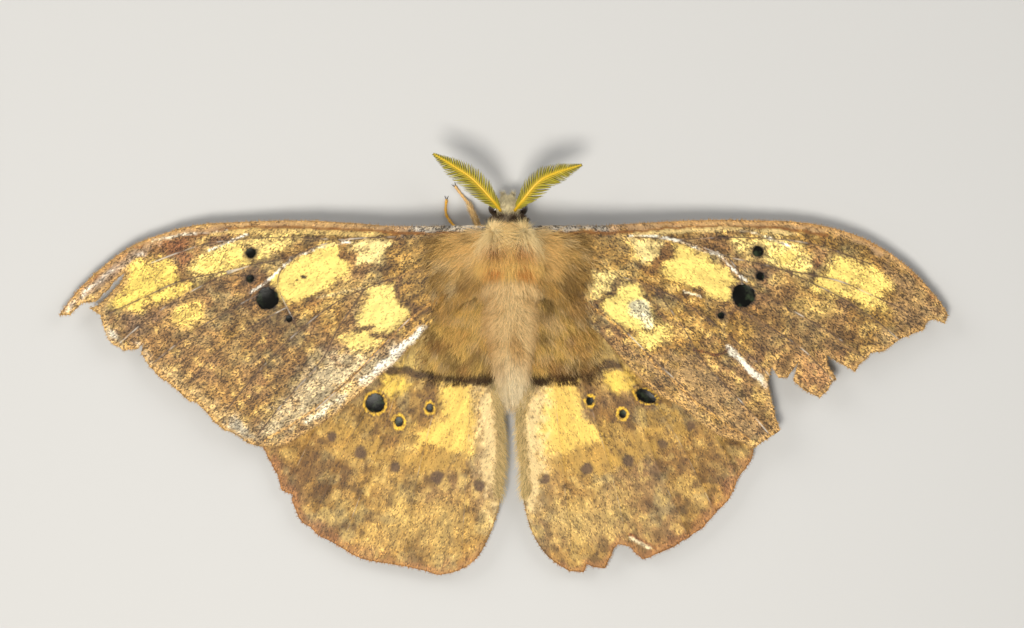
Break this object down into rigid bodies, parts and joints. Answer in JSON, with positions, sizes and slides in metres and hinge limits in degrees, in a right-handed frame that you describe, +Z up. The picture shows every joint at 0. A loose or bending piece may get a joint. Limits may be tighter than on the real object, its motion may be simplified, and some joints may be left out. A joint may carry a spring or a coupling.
{
  "type": "silk moth model",
  "caption": "Still, life-size model of a male silk moth at rest on its feet, with spread wings, feathered antennae and a woolly body.",
  "frame": {"origin": "on the resting surface, under the middle of the moth's outline seen from above", "axes": "+Y to the head, +X to the moth's right wing, +Z up from the resting surface"},
  "size_m": [0.1158, 0.055, 0.0098],
  "materials": {
    "thorax_wool": "long orange-brown wool",
    "abdomen_wool": "cream-beige wool",
    "collar_wool": "dark grey-brown wool",
    "forewing_scales": "brown and yellow scales, matt",
    "hindwing_scales": "ochre and yellow scales, matt",
    "feeler": "olive-yellow, satin",
    "leg_hair": "tan hair and scales",
    "eye": "near black, glossy"
  },
  "bodies": {
    "root": {"head": "abdomen_wool", "eye_left": "eye", "eye_right": "eye", "palp_left": "leg_hair", "palp_right": "leg_hair", "antenna_left": "feeler", "antenna_right": "feeler", "collar": "collar_wool", "thorax": "thorax_wool", "abdomen": "abdomen_wool", "forewing_left": "forewing_scales", "forewing_right": "forewing_scales", "hindwing_left": "hindwing_scales", "hindwing_right": "hindwing_scales", "leg_front_left": "leg_hair", "leg_front_right": "leg_hair", "leg_mid_left": "leg_hair", "leg_mid_right": "leg_hair", "leg_hind_left": "leg_hair", "leg_hind_right": "leg_hair"}
  },
  "joints": []
}
